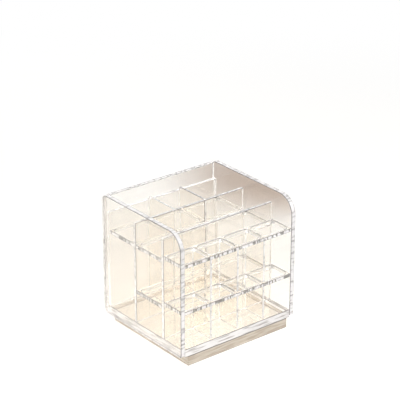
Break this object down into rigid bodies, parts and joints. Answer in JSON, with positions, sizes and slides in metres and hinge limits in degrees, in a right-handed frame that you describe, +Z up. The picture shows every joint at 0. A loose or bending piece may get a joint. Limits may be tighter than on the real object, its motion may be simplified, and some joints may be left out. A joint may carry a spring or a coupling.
{
  "type": "acrylic makeup brush box",
  "caption": "Clear open-topped acrylic box with pierced plates over its front row and upright dividers that hold makeup brushes standing.",
  "frame": {"origin": "middle of the footprint's box, on the surface the box stands on", "axes": "+X to the box's right seen from the front, +Y towards the back, +Z up"},
  "size_m": [0.12, 0.105, 0.1176],
  "materials": {
    "shell_acrylic": "clear polished acrylic sheet",
    "base_acrylic": "clear polished acrylic block, faint cream tint",
    "insert_acrylic": "clear polished acrylic sheet"
  },
  "bodies": {
    "root": {"left_side_panel": "shell_acrylic", "right_side_panel": "shell_acrylic", "back_panel": "shell_acrylic", "plinth_slab": "base_acrylic", "floor_plate": "base_acrylic", "front_divider": "insert_acrylic", "middle_divider": "insert_acrylic", "rear_liner": "insert_acrylic", "upper_front_grid": "insert_acrylic", "lower_front_grid": "insert_acrylic", "upper_middle_rim": "insert_acrylic", "lower_middle_rim": "insert_acrylic", "rear_rim_left": "insert_acrylic", "rear_rim_centre": "insert_acrylic", "rear_rim_right": "insert_acrylic", "front_partition_lower_left": "insert_acrylic", "front_partition_lower_centre": "insert_acrylic", "front_partition_lower_right": "insert_acrylic", "front_partition_upper_left": "insert_acrylic", "front_partition_upper_centre": "insert_acrylic", "front_partition_upper_right": "insert_acrylic", "rear_partition_left": "insert_acrylic", "rear_partition_right": "insert_acrylic"}
  },
  "joints": []
}
